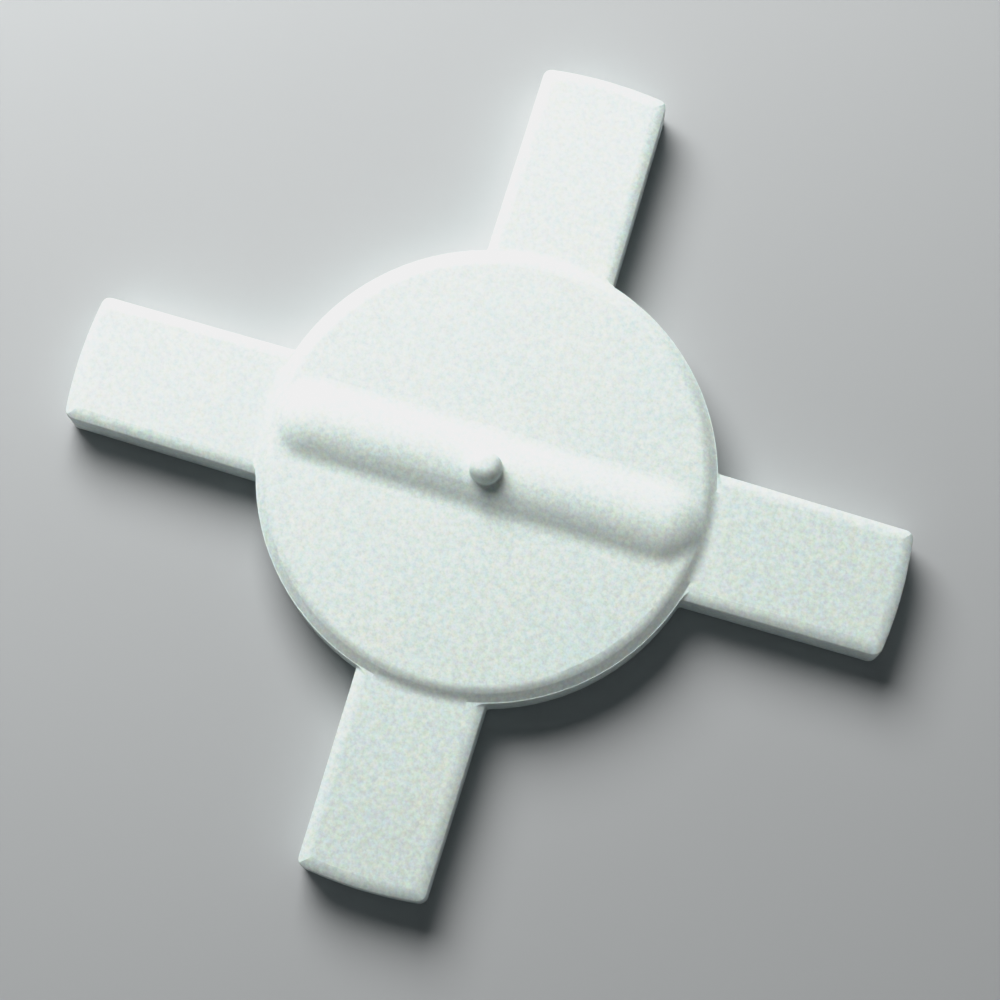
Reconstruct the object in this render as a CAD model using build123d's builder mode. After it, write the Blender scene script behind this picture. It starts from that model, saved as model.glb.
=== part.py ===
from build123d import *
import math
import os

# Magnetic stir bar with a round disc and four flat arms: one moulded body
# with a rod magnet sealed under the ridge. Millimetres, +Z up. The origin is
# the centre of the flat underside, X runs along the ridge and the magnet.

# --- arms -----------------------------------------------------------------
tip_radius = 27.4  # the arm ends are arcs about the centre: 54.8 tip to tip
arm_thickness = 3.45
arm_root_width = 8.50  # where the arm leaves the disc
arm_tip_width = 8.31
arm_corner_radius = 0.60  # tip corners, seen from above
arm_edge_radius = 1.30  # the top curves down gently towards its edges...
arm_edge_slope = 36.0  # ...to this slope, in degrees, where it meets the wall
arm_edge_break = 0.10  # small radius on that corner
arm_bottom_round = 0.25

# --- disc -----------------------------------------------------------------
disc_radius = 14.75
disc_height = 4.00  # top face above the underside
disc_bottom_round = 0.30
face_radius = 13.94  # where the rim slope would meet the top face
rim_round = 0.92  # softens that corner
ledge_width = 0.05  # narrow flat between the rim slope and the wall
rim_toe_radius = 0.85  # hollow where the rim slope runs out on an arm
rim_toe_half_width = 3.05  # of that hollow, over the flat middle of the arm
root_fillet = 0.25  # inside corner between an arm's side and the disc wall

# --- ridge over the magnet ------------------------------------------------
ridge_height = 4.90  # crest above the underside
ridge_radius = 3.70  # of the half-round back
ridge_centre_half = 11.60  # centre of each rounded end, from the middle
ridge_root_fillet = 1.50  # wide hollow along the foot of the ridge

# --- pip at the middle ----------------------------------------------------
pip_radius = 1.03
pip_height = 1.40  # above the crest
pip_top_round = 0.78
pip_root_fillet = 0.15

# --- magnet ---------------------------------------------------------------
magnet_diameter = 3.20
magnet_length = 25.0
magnet_height = 2.40  # of its axis above the underside
magnet_edge = 0.20  # chamfer on both end edges

# --- worked out from the above ---------------------------------------------
arm_start = 8.0  # the arms' inner ends, well inside the disc
arm_taper = (arm_root_width - arm_tip_width) / 2 / (tip_radius - disc_radius)
arm_edge_run = arm_edge_radius * math.sin(math.radians(arm_edge_slope))
arm_wall_height = arm_thickness - arm_edge_radius * (1 - math.cos(math.radians(arm_edge_slope)))
rim_foot = disc_radius - ledge_width
rim_slope = math.degrees(math.atan2(disc_height - arm_thickness, rim_foot - face_radius))
rim_toe_run = rim_toe_radius * math.tan(math.radians(rim_slope / 2))
rim_toe_angle = math.degrees(math.asin(rim_toe_half_width / disc_radius))
ridge_axis_height = ridge_height - ridge_radius
ridge_base_half = math.sqrt(ridge_radius**2 - (disc_height - ridge_axis_height) ** 2)


def arm_half_width(x):
    return arm_root_width / 2 - arm_taper * (x - disc_radius)


# Magnet: a plain round rod with broken end edges, lying along X.
with BuildPart() as bar_magnet:
    with BuildSketch(Plane.YZ.offset(-magnet_length / 2)):
        with Locations((0, magnet_height)):
            Circle(magnet_diameter / 2)
    extrude(amount=magnet_length)
    chamfer(bar_magnet.edges().filter_by(GeomType.CIRCLE), length=magnet_edge)

# Moulded body: arms, disc, ridge and pip in one, closed round the magnet.
with BuildPart() as moulded_body:
    # One arm: a slightly tapered flat bar. Its section has a flat top that
    # curves down towards both walls.
    for station in (arm_start, tip_radius + 2):
        half = arm_half_width(station)
        with BuildSketch(Plane.YZ.offset(station)):
            with BuildLine():
                Polyline((-half, arm_wall_height), (-half, 0), (half, 0), (half, arm_wall_height))
                CenterArc(
                    (half - arm_edge_run, arm_thickness - arm_edge_radius),
                    arm_edge_radius,
                    90 - arm_edge_slope,
                    arm_edge_slope,
                )
                Line((half - arm_edge_run, arm_thickness), (arm_edge_run - half, arm_thickness))
                CenterArc(
                    (arm_edge_run - half, arm_thickness - arm_edge_radius),
                    arm_edge_radius,
                    90,
                    arm_edge_slope,
                )
            make_face()
    loft(ruled=True)

    # Its end is an arc about the centre, with the same curve down to the wall.
    with BuildSketch(Plane.XZ):
        with BuildLine():
            Polyline((0, arm_thickness), (0, 0), (tip_radius, 0), (tip_radius, arm_wall_height))
            CenterArc(
                (tip_radius - arm_edge_run, arm_thickness - arm_edge_radius),
                arm_edge_radius,
                90 - arm_edge_slope,
                arm_edge_slope,
            )
            Line((tip_radius - arm_edge_run, arm_thickness), (0, arm_thickness))
        make_face()
    revolve(axis=Axis.Z, mode=Mode.INTERSECT)
    fillet(
        moulded_body.edges().filter_by(Axis.Z).filter_by(lambda e: e.center().X > disc_radius),
        radius=arm_corner_radius,
    )
    fillet(
        moulded_body.edges()
        .filter_by(Plane.XY)
        .filter_by(lambda e: e.center().X > arm_start + 0.1)
        .group_by(Axis.Z)[0],
        radius=arm_bottom_round,
    )
    fillet(
        moulded_body.edges().filter_by(
            lambda e: e.center().X > arm_start + 0.1
            and arm_wall_height - 0.02 < e.center().Z < arm_wall_height + 0.06
        ),
        radius=arm_edge_break,
    )

    # The other three arms, a quarter turn apart.
    one_arm = moulded_body.part
    for turn in (90, 180, 270):
        add(one_arm, rotation=(0, 0, turn))

    # Disc: a turned profile whose rim slopes down to the level of the arms.
    # Its plane stands between two arms, clear of the ridge.
    with BuildSketch(Plane((0, 0, 0), x_dir=(1, 1, 0), z_dir=(1, -1, 0))) as disc_profile:
        with BuildLine():
            Polyline(
                (0, 0),
                (disc_radius, 0),
                (disc_radius, arm_thickness),
                (rim_foot, arm_thickness),
                (face_radius, disc_height),
                (0, disc_height),
                close=True,
            )
        make_face()
        fillet(
            disc_profile.vertices().group_by(Axis.X)[-1].sort_by(Axis.Y)[0],
            radius=disc_bottom_round,
        )
        fillet(
            disc_profile.vertices().group_by(Axis.Y)[-1].sort_by(Axis.X)[-1],
            radius=rim_round,
        )
    revolve(axis=Axis.Z)

    # The rim slope runs out on each arm in a shallow hollow.
    for turn in (0, 90, 180, 270):
        start = math.radians(turn - rim_toe_angle)
        toe_plane = Plane(
            (0, 0, 0),
            x_dir=(math.cos(start), math.sin(start), 0),
            z_dir=(math.sin(start), -math.cos(start), 0),
        )
        top = (
            rim_foot - rim_toe_run * math.cos(math.radians(rim_slope)),
            arm_thickness + rim_toe_run * math.sin(math.radians(rim_slope)),
        )
        with BuildSketch(toe_plane):
            with BuildLine():
                CenterArc(
                    (rim_foot + rim_toe_run, arm_thickness + rim_toe_radius),
                    rim_toe_radius,
                    270 - rim_slope,
                    rim_slope,
                )
                Polyline(
                    (rim_foot + rim_toe_run, arm_thickness),
                    (rim_foot + rim_toe_run, arm_wall_height),
                    (top[0], arm_wall_height),
                    top,
                )
            make_face()
        revolve(axis=Axis.Z, revolution_arc=2 * rim_toe_angle)

    # Inside corners where the arms' sides leave the disc wall.
    fillet(
        moulded_body.edges()
        .filter_by(Axis.Z)
        .filter_by(
            lambda e: abs(math.hypot(e.center().X, e.center().Y) - disc_radius) < 0.05
            and min(abs(e.center().X), abs(e.center().Y)) < arm_root_width / 2 + 0.05
        ),
        radius=root_fillet,
    )

    # Ridge: the upper half of a round-ended rod, sunk in the disc. Its ends
    # run out into the rim slope.
    with BuildSketch(Plane.XY.offset(ridge_axis_height)):
        SlotCenterToCenter(2 * ridge_centre_half, 2 * ridge_radius)
        split(bisect_by=Plane.XZ, keep=Keep.BOTTOM)
    revolve(axis=Axis((0, 0, ridge_axis_height), (1, 0, 0)), revolution_arc=180)
    fillet(
        moulded_body.edges().filter_by(
            lambda e: abs(e.center().Z - disc_height) < 0.05
            and (
                (e.geom_type == GeomType.LINE and abs(abs(e.center().Y) - ridge_base_half) < 0.01)
                or (e.geom_type == GeomType.CIRCLE and abs(e.radius - ridge_base_half) < 0.01)
                or (e.geom_type == GeomType.BSPLINE and abs(e.center().Y) < ridge_base_half)
            )
        ),
        radius=ridge_root_fillet,
    )

    # Pip: a short peg with a domed top, standing on the middle of the crest.
    with BuildSketch(Plane.XY.offset(disc_height)):
        Circle(pip_radius)
    extrude(amount=ridge_height + pip_height - disc_height)
    fillet(moulded_body.edges().group_by(Axis.Z)[-1], radius=pip_top_round)
    fillet(
        moulded_body.edges().filter_by(
            lambda e: disc_height + 0.3 < e.center().Z < ridge_height + 0.1
            and e.geom_type != GeomType.LINE
            and e.bounding_box().size.X < 2.2 * pip_radius
            and e.bounding_box().size.Y < 2.2 * pip_radius
            and math.hypot(e.center().X, e.center().Y) < 1.1 * pip_radius
        ),
        radius=pip_root_fillet,
    )

    # The space that the magnet fills.
    add(bar_magnet.part, mode=Mode.SUBTRACT)

moulded_body.part.label = "moulded_body"
bar_magnet.part.label = "bar_magnet"

os.makedirs("parts", exist_ok=True)
export_step(moulded_body.part, "parts/moulded_body.step")
export_step(bar_magnet.part, "parts/bar_magnet.step")

for piece in (moulded_body.part, bar_magnet.part):
    print(piece.label, len(piece.solids()), "solid,", round(piece.volume, 2), "mm3,", piece.bounding_box())
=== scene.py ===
import math

import bpy
from mathutils import Matrix, Vector

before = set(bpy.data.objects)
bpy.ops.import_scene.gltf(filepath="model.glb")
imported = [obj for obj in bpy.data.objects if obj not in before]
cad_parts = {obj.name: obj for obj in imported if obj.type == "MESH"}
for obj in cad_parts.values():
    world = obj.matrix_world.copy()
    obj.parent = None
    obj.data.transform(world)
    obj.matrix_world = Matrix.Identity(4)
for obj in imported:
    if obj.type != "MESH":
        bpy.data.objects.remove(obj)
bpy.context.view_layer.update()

scene = bpy.context.scene
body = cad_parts["moulded_body"]
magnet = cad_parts["bar_magnet"]


# --------------------------------------------------------------------------
# node helpers
# --------------------------------------------------------------------------
class Tree:
    """Small helper that adds nodes to a material and links them."""

    def __init__(self, name):
        self.material = bpy.data.materials.new(name)
        self.material.use_nodes = True
        self.nodes = self.material.node_tree.nodes
        self.links = self.material.node_tree.links
        self.nodes.clear()
        self.out = self.nodes.new("ShaderNodeOutputMaterial")
        self.shader = self.nodes.new("ShaderNodeBsdfPrincipled")
        self.links.new(self.shader.outputs[0], self.out.inputs["Surface"])
        self.place = self.nodes.new("ShaderNodeTexCoord").outputs["Object"]

    def put(self, socket, value):
        if isinstance(value, bpy.types.NodeSocket):
            self.links.new(value, socket)
        else:
            socket.default_value = value

    def math(self, operation, *values, clamp=False):
        n = self.nodes.new("ShaderNodeMath")
        n.operation = operation
        n.use_clamp = clamp
        for socket, value in zip(n.inputs, values):
            self.put(socket, value)
        return n.outputs[0]

    def vector(self, operation, *values):
        n = self.nodes.new("ShaderNodeVectorMath")
        n.operation = operation
        for socket, value in zip(n.inputs, values):
            self.put(socket, value)
        return n.outputs["Value" if operation in ("LENGTH", "DISTANCE", "DOT_PRODUCT") else "Vector"]

    def noise(self, per_mm, detail=2.0, rough=0.5, vector=None, seed=0.0, distortion=0.0):
        """Noise whose features are about 1 / per_mm millimetres across."""
        n = self.nodes.new("ShaderNodeTexNoise")
        n.noise_dimensions = "4D"
        self.put(n.inputs["Vector"], vector if vector is not None else self.place)
        self.put(n.inputs["W"], seed)
        self.put(n.inputs["Scale"], per_mm * 1000.0)
        self.put(n.inputs["Detail"], detail)
        self.put(n.inputs["Roughness"], rough)
        self.put(n.inputs["Distortion"], distortion)
        return n.outputs["Fac"]

    def remap(self, value, a, b, c, d, kind="LINEAR"):
        n = self.nodes.new("ShaderNodeMapRange")
        n.interpolation_type = kind
        for socket, v in zip(n.inputs, (value, a, b, c, d)):
            self.put(socket, v)
        return n.outputs[0]

    def mix(self, factor, a, b):
        n = self.nodes.new("ShaderNodeMix")
        n.data_type = "RGBA"
        n.clamp_factor = True
        self.put(n.inputs[0], factor)
        self.put(n.inputs[6], a)
        self.put(n.inputs[7], b)
        return n.outputs[2]

    def times(self, a, b):
        n = self.nodes.new("ShaderNodeMix")
        n.data_type = "RGBA"
        n.blend_type = "MULTIPLY"
        n.inputs[0].default_value = 1.0
        self.put(n.inputs[6], a)
        self.put(n.inputs[7], b)
        return n.outputs[2]

    def bump(self, height, metres, strength=1.0, normal=None):
        n = self.nodes.new("ShaderNodeBump")
        self.put(n.inputs["Height"], height)
        n.inputs["Distance"].default_value = metres
        n.inputs["Strength"].default_value = strength
        if normal is not None:
            self.put(n.inputs["Normal"], normal)
        return n.outputs[0]

    def near(self, point_mm, radius_mm, soft_mm):
        """1 within radius of a point, falling to 0 over the soft width."""
        d = self.vector("DISTANCE", self.place, tuple(c / 1000.0 for c in point_mm))
        return self.remap(d, radius_mm / 1000.0, (radius_mm + soft_mm) / 1000.0, 1.0, 0.0, "SMOOTHSTEP")

    def stroke(self, a_mm, b_mm, half_mm, soft_mm):
        """1 along a straight stroke between two points, falling to 0 beside it."""
        a = Vector(a_mm) / 1000.0
        b = Vector(b_mm) / 1000.0
        run = b - a
        rel = self.vector("SUBTRACT", self.place, tuple(a))
        t = self.math("DIVIDE", self.vector("DOT_PRODUCT", rel, tuple(run)), run.length_squared, clamp=True)
        n = self.nodes.new("ShaderNodeVectorMath")
        n.operation = "SCALE"
        n.inputs[0].default_value = tuple(run)
        self.put(n.inputs["Scale"], t)
        d = self.vector("DISTANCE", rel, n.outputs[0])
        return self.remap(d, half_mm / 1000.0, (half_mm + soft_mm) / 1000.0, 1.0, 0.0, "SMOOTHSTEP")


# --------------------------------------------------------------------------
# white moulding: waxy fluoropolymer with a fine pressed grain
# --------------------------------------------------------------------------
def white_moulding():
    t = Tree("white_moulding_ptfe")
    s = t.shader

    grain = t.noise(3.4, detail=3.0, rough=0.60, seed=1.7)
    fine = t.noise(7.5, detail=1.0, seed=9.1)
    yellow = t.noise(2.5, detail=2.0, rough=0.60, seed=12.4)
    pink = t.noise(3.1, detail=2.0, rough=0.60, seed=15.8)
    cloud = t.noise(0.20, detail=3.0, rough=0.55, seed=4.3)
    patch = t.noise(0.7, detail=2.0, seed=6.6)

    # colour: off-white, each pressed grain a little lighter or darker, and a
    # shade yellower or bluer, pinker or greener than the next
    colour = t.mix(t.remap(grain, 0.34, 0.66, 0.0, 1.0), (0.690, 0.774, 0.750, 1.0), (0.815, 0.915, 0.886, 1.0))
    colour = t.times(colour, t.mix(t.remap(fine, 0.32, 0.68, 0.0, 1.0), (0.965, 0.965, 0.965, 1.0), (1.03, 1.03, 1.03, 1.0)))
    colour = t.times(colour, t.mix(t.remap(yellow, 0.34, 0.66, 0.0, 1.0), (0.968, 0.972, 1.036, 1.0), (1.030, 1.026, 0.962, 1.0)))
    colour = t.times(colour, t.mix(t.remap(pink, 0.34, 0.66, 0.0, 1.0), (0.972, 1.022, 1.004, 1.0), (1.030, 0.978, 0.996, 1.0)))
    colour = t.times(colour, t.mix(t.remap(cloud, 0.36, 0.66, 0.0, 1.0), (0.982, 0.994, 1.006, 1.0), (1.014, 1.002, 0.992, 1.0)))

    # a faint curved scuff near the end of one arm, and specks on the ridge
    scuff = t.math("MAXIMUM", t.stroke((2.9, -21.2, 3.45), (2.2, -23.0, 3.45), 0.03, 0.16), t.stroke((2.2, -23.0, 3.45), (0.9, -24.1, 3.45), 0.04, 0.16))
    dots = t.math("MAXIMUM", t.near((1.1, -24.0, 3.45), 0.07, 0.14), t.near((0.55, -23.9, 3.45), 0.05, 0.12))
    specks = t.math("MAXIMUM", t.near((7.5, 1.25, 4.70), 0.06, 0.16), t.near((7.15, 1.55, 4.56), 0.08, 0.16))
    broken = t.remap(t.noise(4.0, detail=2.0, seed=21.0), 0.42, 0.58, 0.25, 1.0)
    marks = t.math("MULTIPLY", t.math("MAXIMUM", t.math("MAXIMUM", scuff, dots), specks), broken)
    colour = t.mix(t.math("MULTIPLY", marks, 0.22), colour, (0.50, 0.54, 0.52, 1.0))
    t.put(s.inputs["Base Color"], colour)

    rough = t.remap(patch, 0.3, 0.7, 0.42, 0.58)
    t.put(s.inputs["Roughness"], rough)
    s.inputs["IOR"].default_value = 1.36
    s.subsurface_method = "BURLEY"
    s.inputs["Subsurface Weight"].default_value = 0.42
    s.inputs["Subsurface Radius"].default_value = (1.5, 1.0, 0.85)
    s.inputs["Subsurface Scale"].default_value = 0.0006

    low = t.bump(cloud, 0.00002, 0.5)
    t.put(s.inputs["Normal"], t.bump(grain, 0.000016, 0.7, low))
    return t.material


# --------------------------------------------------------------------------
# magnet: centreless-ground grey alloy, sealed inside the moulding
# --------------------------------------------------------------------------
def magnet_metal():
    t = Tree("magnet_ground_alloy")
    s = t.shader
    sep = t.nodes.new("ShaderNodeSeparateXYZ")
    t.put(sep.inputs[0], t.place)
    # grinding marks run round the rod, so the noise is stretched round X
    comb = t.nodes.new("ShaderNodeCombineXYZ")
    t.put(comb.inputs[0], sep.outputs[0])
    angle = t.math("ARCTAN2", sep.outputs[1], t.math("SUBTRACT", sep.outputs[2], 0.0024))
    t.put(comb.inputs[1], t.math("MULTIPLY", angle, 0.00012))
    lines = t.noise(9.0, detail=3.0, rough=0.6, vector=comb.outputs[0], seed=2.0)
    blotch = t.noise(0.9, detail=3.0, seed=5.0)
    colour = t.mix(t.remap(lines, 0.35, 0.68, 0.0, 1.0), (0.36, 0.36, 0.37, 1.0), (0.52, 0.52, 0.52, 1.0))
    colour = t.mix(t.remap(blotch, 0.50, 0.75, 0.0, 0.45), colour, (0.30, 0.295, 0.29, 1.0))
    t.put(s.inputs["Base Color"], colour)
    s.inputs["Metallic"].default_value = 1.0
    t.put(s.inputs["Roughness"], t.remap(blotch, 0.3, 0.7, 0.28, 0.44))
    t.put(s.inputs["Normal"], t.bump(lines, 0.000006, 0.5))
    return t.material


def dress(obj, material):
    obj.data.materials.clear()
    obj.data.materials.append(material)


dress(body, white_moulding())
dress(magnet, magnet_metal())


# --------------------------------------------------------------------------
# floor: one seamless pale sheet that turns up far behind the object
# --------------------------------------------------------------------------
def floor_sheet():
    profile = [(0.0, 0.0), (0.10, 0.0), (0.30, 0.0), (0.55, 0.0)]
    rise, start = 0.38, 0.55
    for i in range(1, 25):
        a = math.radians(90.0) * i / 24
        profile.append((start + rise * math.sin(a), rise * (1 - math.cos(a))))
    around = 96
    verts, faces = [(0.0, 0.0, 0.0)], []
    for r, z in profile[1:]:
        for k in range(around):
            a = 2 * math.pi * k / around
            verts.append((r * math.cos(a), r * math.sin(a), z))
    for k in range(around):
        faces.append((0, 1 + k, 1 + (k + 1) % around))
    for j in range(len(profile) - 2):
        p, q = 1 + j * around, 1 + (j + 1) * around
        for k in range(around):
            n = (k + 1) % around
            faces.append((p + k, q + k, q + n, p + n))
    mesh = bpy.data.meshes.new("floor_sheet")
    mesh.from_pydata(verts, [], faces)
    for p in mesh.polygons:
        p.use_smooth = True
    mesh.update()
    obj = bpy.data.objects.new("floor_sheet", mesh)
    scene.collection.objects.link(obj)
    t = Tree("floor_matt")
    s = t.shader
    tone = t.noise(0.012, detail=2.0, seed=3.0)
    t.put(s.inputs["Base Color"], t.mix(t.remap(tone, 0.3, 0.7, 0.0, 1.0), (0.50, 0.515, 0.53, 1.0), (0.515, 0.53, 0.545, 1.0)))
    s.inputs["Roughness"].default_value = 0.85
    s.inputs["IOR"].default_value = 1.35
    mesh.materials.append(t.material)
    return obj


floor_sheet()


# --------------------------------------------------------------------------
# light: a low soft key from the upper left of the view, and an even fill
# --------------------------------------------------------------------------
def area(name, place, aim, size, watts, colour):
    data = bpy.data.lights.new(name, "AREA")
    data.shape = "DISK"
    data.size = size
    data.energy = watts
    data.color = colour
    obj = bpy.data.objects.new(name, data)
    scene.collection.objects.link(obj)
    obj.location = place
    obj.rotation_mode = "QUATERNION"
    obj.rotation_quaternion = (Vector(aim) - Vector(place)).to_track_quat("-Z", "Y")
    obj.visible_camera = False
    return obj


def polar(azimuth, elevation, distance):
    """A point by direction: azimuth from +X towards +Y, in degrees."""
    a, e = math.radians(azimuth), math.radians(elevation)
    return (distance * math.cos(a) * math.cos(e), distance * math.sin(a) * math.cos(e), distance * math.sin(e))


KEY_AZ, KEY_EL, KEY_DIST = 128.0, 46.0, 0.21
area("key", polar(KEY_AZ, KEY_EL, KEY_DIST), (0, 0, 0.004), 0.16, 0.62, (1.0, 0.99, 0.965))

# four lights that face away from the object wash the turned-up edge of the sheet
for side in (0, 90, 180, 270):
    out = Vector(polar(side, 0, 1.0))
    area("wash_%d" % side, out * 0.30 + Vector((0, 0, 0.30)), out * 0.93 + Vector((0, 0, 0.15)), 0.30, 1.4, (1.0, 1.0, 1.0))

world = bpy.data.worlds.new("studio")
scene.world = world
world.use_nodes = True
world.node_tree.nodes["Background"].inputs["Color"].default_value = (0.80, 0.95, 0.97, 1.0)
world.node_tree.nodes["Background"].inputs["Strength"].default_value = 0.055

scene.view_settings.view_transform = "Standard"
scene.view_settings.look = "None"
scene.view_settings.exposure = 0.0
scene.view_settings.gamma = 1.0
# a little more contrast in the shades, and a soft shoulder, so that the
# brightest slopes keep their shape
scene.view_settings.use_curve_mapping = True
shoulder = scene.view_settings.curve_mapping
shoulder.extend = "HORIZONTAL"
shoulder.curves[3].points[1].location = (1.0, 0.865)
for x, y in ((0.22, 0.20), (0.42, 0.385), (0.62, 0.595), (0.80, 0.785)):
    shoulder.curves[3].points.new(x, y)
shoulder.update()


# --------------------------------------------------------------------------
# camera
# --------------------------------------------------------------------------
CAM_AZ, CAM_EL, CAM_ROLL = 20.95, 79.15, -4.2
CAM_DIST = 0.175  # metres from the point aimed at
CAM_FOCAL = 2750.0  # pixels of the 1000 pixel frame
CAM_AIM = (0.00133, -0.00142, 0.00345)


def camera(azimuth, elevation, roll, distance, focal, aim):
    data = bpy.data.cameras.new("camera")
    data.sensor_width = 36.0
    data.lens = focal * 36.0 / 1000.0
    data.clip_start, data.clip_end = 0.01, 10.0
    obj = bpy.data.objects.new("camera", data)
    scene.collection.objects.link(obj)
    a, e, r = (math.radians(v) for v in (azimuth, elevation, roll))
    back = Vector((math.sin(a) * math.cos(e), -math.cos(a) * math.cos(e), math.sin(e)))
    right = Vector((math.cos(a), math.sin(a), 0.0))
    up = back.cross(right)
    across = math.cos(r) * right + math.sin(r) * up
    along = -math.sin(r) * right + math.cos(r) * up
    turn = Matrix((across, along, back)).transposed()
    obj.location = Vector(aim) + back * distance
    obj.rotation_mode = "QUATERNION"
    obj.rotation_quaternion = turn.to_quaternion()
    scene.camera = obj
    return obj


camera(CAM_AZ, CAM_EL, CAM_ROLL, CAM_DIST, CAM_FOCAL, CAM_AIM)
